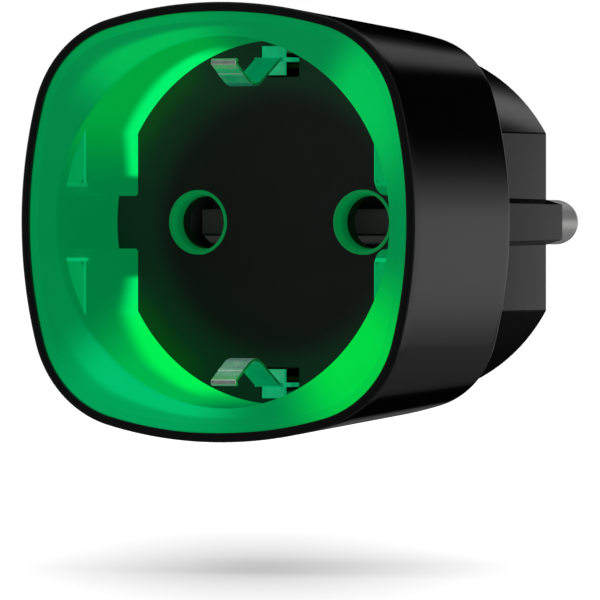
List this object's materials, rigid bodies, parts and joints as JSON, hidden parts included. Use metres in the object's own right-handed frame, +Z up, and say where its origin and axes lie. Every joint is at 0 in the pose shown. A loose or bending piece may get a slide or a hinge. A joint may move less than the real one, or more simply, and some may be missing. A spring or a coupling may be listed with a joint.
{
  "type": "smart plug",
  "caption": "Rounded-square smart plug for round-pin sockets: recessed socket with a lit ring, side earth contacts and a shutter, and a two-pin plug body behind.",
  "frame": {"origin": "centre of the plug body's rear face, between the two pins where they leave it", "axes": "+Y along the pins, into the wall; -Y is the side with the socket; +Z up; +X to the right as seen from the front"},
  "size_m": [0.045, 0.0655, 0.045],
  "materials": {
    "gloss_black": "glossy moulded plastic, matt on the front rim",
    "light_guide_green": "translucent diffuser lit green from behind",
    "matt_black": "fine matt moulding",
    "dark_grey_plastic": "self-coloured nylon",
    "spring_steel": "drawn wire and strip",
    "nickel_silver": "nickel-plated, lightly polished",
    "brass": "stamped sheet",
    "copper_winding": "enamelled copper wire",
    "board_green": "solder mask on glass-fibre laminate",
    "board_blue": "solder mask on glass-fibre laminate",
    "board_white": "white solder mask",
    "chip_black": "moulded epoxy",
    "bobbin_cream": "moulded nylon",
    "soft_iron": "nickel-plated soft iron",
    "ferrite": "pressed and fired ferrite",
    "film_yellow": "moulded capacitor case",
    "capacitor_sleeve": "heat-shrunk sleeve",
    "varistor_blue": "dipped epoxy",
    "fuse_body": "lacquered ceramic",
    "shunt_alloy": "resistance alloy strip",
    "led_lens": "clear resin over the chip"
  },
  "bodies": {
    "housing": {"outer_housing": "gloss_black", "light_guide": "light_guide_green", "left_pin_light_ring": "light_guide_green", "right_pin_light_ring": "light_guide_green", "socket_floor": "matt_black", "shutter_spring": "spring_steel", "contact_carrier": "dark_grey_plastic", "live_socket_contact": "brass", "neutral_socket_contact": "brass", "upper_earth_strip": "nickel_silver", "lower_earth_strip": "nickel_silver", "earth_bridge": "brass", "plug_base": "matt_black", "live_pin": "nickel_silver", "neutral_pin": "nickel_silver", "carrier_screws": "spring_steel", "main_board": "board_green", "relay_base": "dark_grey_plastic", "relay_cover": "dark_grey_plastic", "relay_bobbin": "bobbin_cream", "relay_coil": "copper_winding", "relay_core": "soft_iron", "relay_yoke": "soft_iron", "relay_fixed_contact": "brass", "relay_terminals": "nickel_silver", "electrolytic_capacitor": "capacitor_sleeve", "film_capacitor": "film_yellow", "inductor_core": "ferrite", "inductor_winding": "copper_winding", "surge_varistor": "varistor_blue", "fuse": "fuse_body", "control_chip": "chip_black", "bridge_rectifier": "chip_black", "current_shunt": "shunt_alloy", "radio_board": "board_blue", "radio_chip": "chip_black", "radio_shield": "nickel_silver", "antenna": "brass", "board_link_pins": "brass", "led_board": "board_white", "led_upper_left": "led_lens", "led_upper_right": "led_lens", "led_lower_left": "led_lens", "led_lower_right": "led_lens"},
    "shutter": {"shutter_slider": "dark_grey_plastic"},
    "armature": {"relay_armature": "soft_iron", "relay_contact_spring": "copper_winding"},
    "upper_leaf": {"upper_earth_leaf": "nickel_silver"},
    "lower_leaf": {"lower_earth_leaf": "nickel_silver"}
  },
  "joints": [
    {"name": "shutter_slide", "type": "slide", "parent": "housing", "child": "shutter", "axis": [0, 0.5, -0.866], "range_m": [0, 0.00484], "stiffness_N_per_m": 90, "springref_m": -0.002, "deforming": ["shutter_spring"]},
    {"name": "armature_rock", "type": "hinge", "parent": "housing", "child": "armature", "pos_m": [0, -0.01875, 0.00785], "axis": [1, 0, 0], "range_deg": [0, 5], "stiffness_Nm_per_rad": 0.02, "springref_deg": -2.86},
    {"name": "upper_leaf_flex", "type": "hinge", "parent": "housing", "child": "upper_leaf", "pos_m": [0, -0.0335, 0.0168], "axis": [1, 0, 0], "range_deg": [-8, 0], "stiffness_Nm_per_rad": 0.35, "springref_deg": 1.15},
    {"name": "lower_leaf_flex", "type": "hinge", "parent": "housing", "child": "lower_leaf", "pos_m": [0, -0.0335, -0.0168], "axis": [1, 0, 0], "range_deg": [0, 8], "stiffness_Nm_per_rad": 0.35, "springref_deg": -1.15}
  ]
}
